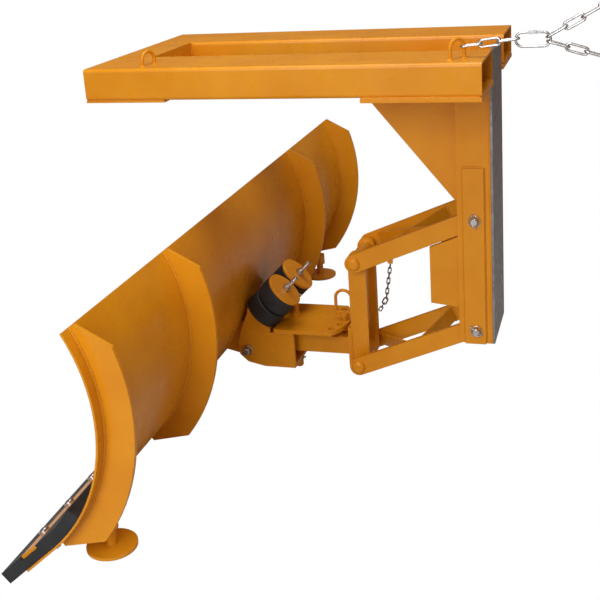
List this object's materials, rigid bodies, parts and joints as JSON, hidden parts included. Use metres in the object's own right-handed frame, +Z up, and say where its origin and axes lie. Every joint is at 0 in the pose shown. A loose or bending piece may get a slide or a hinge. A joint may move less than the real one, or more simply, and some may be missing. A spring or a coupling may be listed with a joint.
{
  "type": "fork-mounted snow plough blade",
  "caption": "Curved snow blade with a rubber scraper, hung by a parallel linkage, swivel head and rubber trip buffers from a frame that slides onto lift-truck forks.",
  "frame": {"origin": "midway between the two fork pockets, in the plane of their rear openings, at half their height", "axes": "+X the way the plough is driven, +Y its left side, +Z up"},
  "size_m": [1.3803, 2, 1.1641],
  "materials": {
    "yellow_paint": "gloss",
    "galvanised": "dull zinc",
    "zinc": "bright zinc plate",
    "dark_steel": "rusty",
    "black_rubber": "matt"
  },
  "bodies": {
    "fork_frame": {"fork_pocket_left": "yellow_paint", "fork_pocket_right": "yellow_paint", "front_cross_member": "yellow_paint", "front_tie_plate": "yellow_paint", "rear_tie_plate": "yellow_paint", "lashing_eyes": "yellow_paint", "mast_side_left": "yellow_paint", "mast_side_right": "yellow_paint", "mast_front_web": "yellow_paint", "push_plate": "galvanised", "mast_gussets": "yellow_paint", "pivot_doublers": "yellow_paint", "arm_stops": "yellow_paint", "rear_pivot_pins": "zinc", "rear_linch_pins": "zinc", "tether_chain": "zinc", "safety_chain": "zinc", "snap_hook": "zinc"},
    "hook_gate": {"snap_hook_gate": "zinc"},
    "upper_arms": {"upper_arm_left": "yellow_paint", "upper_arm_right": "yellow_paint", "upper_arm_tube": "yellow_paint", "upper_arm_braces": "yellow_paint", "upper_front_pin": "yellow_paint"},
    "lower_arms": {"lower_arm_left": "yellow_paint", "lower_arm_right": "yellow_paint", "lower_arm_tube": "yellow_paint", "lower_arm_braces": "yellow_paint", "lower_front_pin": "yellow_paint"},
    "upright": {"upright_post_left": "yellow_paint", "upright_post_right": "yellow_paint", "upright_bearing_tubes": "yellow_paint", "swivel_arm": "yellow_paint", "swivel_spacer": "yellow_paint", "king_pin": "yellow_paint", "king_linch_pins": "zinc"},
    "lock_pin": {"lock_pin": "yellow_paint"},
    "lock_chain": {"lock_pin_chain": "dark_steel"},
    "carrier": {"sector_plate": "yellow_paint", "carrier_side_left": "yellow_paint", "carrier_side_right": "yellow_paint", "carrier_bottom_plate": "yellow_paint", "buffer_seat": "yellow_paint", "tilt_pin": "zinc", "tilt_linch_pins": "zinc", "rubber_buffer_left": "black_rubber", "rubber_buffer_right": "black_rubber"},
    "buffer_rods": {"buffer_rods": "zinc", "buffer_washers": "yellow_paint", "buffer_nuts": "zinc"},
    "blade": {"moldboard": "yellow_paint", "blade_end_ribs": "yellow_paint", "blade_middle_ribs": "yellow_paint", "blade_lugs": "yellow_paint", "scraper": "black_rubber", "clamp_bar": "yellow_paint", "scraper_bolts": "zinc", "skid_brackets": "yellow_paint"},
    "skid_left": {"skid_left": "yellow_paint"},
    "skid_right": {"skid_right": "yellow_paint"}
  },
  "joints": [
    {"name": "lift", "type": "hinge", "parent": "fork_frame", "child": "lower_arms", "pos_m": [0.052, 0, -0.707], "axis": [0, -1, 0], "range_deg": [0, 37]},
    {"name": "upper_arms_follow", "type": "hinge", "parent": "fork_frame", "child": "upper_arms", "pos_m": [0.052, 0, -0.402], "axis": [0, -1, 0], "range_deg": [0, 37]},
    {"name": "upright_follow", "type": "hinge", "parent": "lower_arms", "child": "upright", "pos_m": [0.3846, 0, -0.84477], "axis": [0, -1, 0], "range_deg": [-37, 0]},
    {"name": "lock_chain_hang", "type": "hinge", "parent": "upper_arms", "child": "lock_chain", "pos_m": [0.28379, 0.07684, -0.52558], "axis": [0, -1, 0], "range_deg": [-37, 0]},
    {"name": "blade_swivel", "type": "hinge", "parent": "upright", "child": "carrier", "pos_m": [0.5896, 0, -0.744], "axis": [0, 0, 1], "range_deg": [-30, 30]},
    {"name": "lock_pin_drop", "type": "slide", "parent": "carrier", "child": "lock_pin", "axis": [0, 0, -1], "range_m": [0, 0.012]},
    {"name": "blade_trip", "type": "hinge", "parent": "carrier", "child": "blade", "pos_m": [0.711, 0, -0.813], "axis": [0, 1, 0], "range_deg": [0, 15], "stiffness_Nm_per_rad": 1500, "springref_deg": -11.46},
    {"name": "buffer_rods_pull", "type": "slide", "parent": "carrier", "child": "buffer_rods", "axis": [0.7071, 0, -0.7071], "range_m": [0, 0.01304], "deforming": ["rubber_buffer_left", "rubber_buffer_right"]},
    {"name": "skid_left_height", "type": "slide", "parent": "blade", "child": "skid_left", "axis": [0, 0, 1], "range_m": [0, 0.035]},
    {"name": "skid_right_height", "type": "slide", "parent": "blade", "child": "skid_right", "axis": [0, 0, 1], "range_m": [0, 0.035]},
    {"name": "hook_gate_swing", "type": "hinge", "parent": "fork_frame", "child": "hook_gate", "pos_m": [-0.12491, 0.26093, 0.09547], "axis": [0, 1, 0], "range_deg": [0, 25], "stiffness_Nm_per_rad": 0.02, "springref_deg": -11.46}
  ],
  "couplings": [
    {"joint": "upper_arms_follow", "follows": "lift", "ratio": 1},
    {"joint": "upright_follow", "follows": "lift", "ratio": -1},
    {"joint": "lock_chain_hang", "follows": "lift", "ratio": -1},
    {"joint": "buffer_rods_pull", "follows": "blade_trip", "m_per_rad": 0.04903}
  ]
}
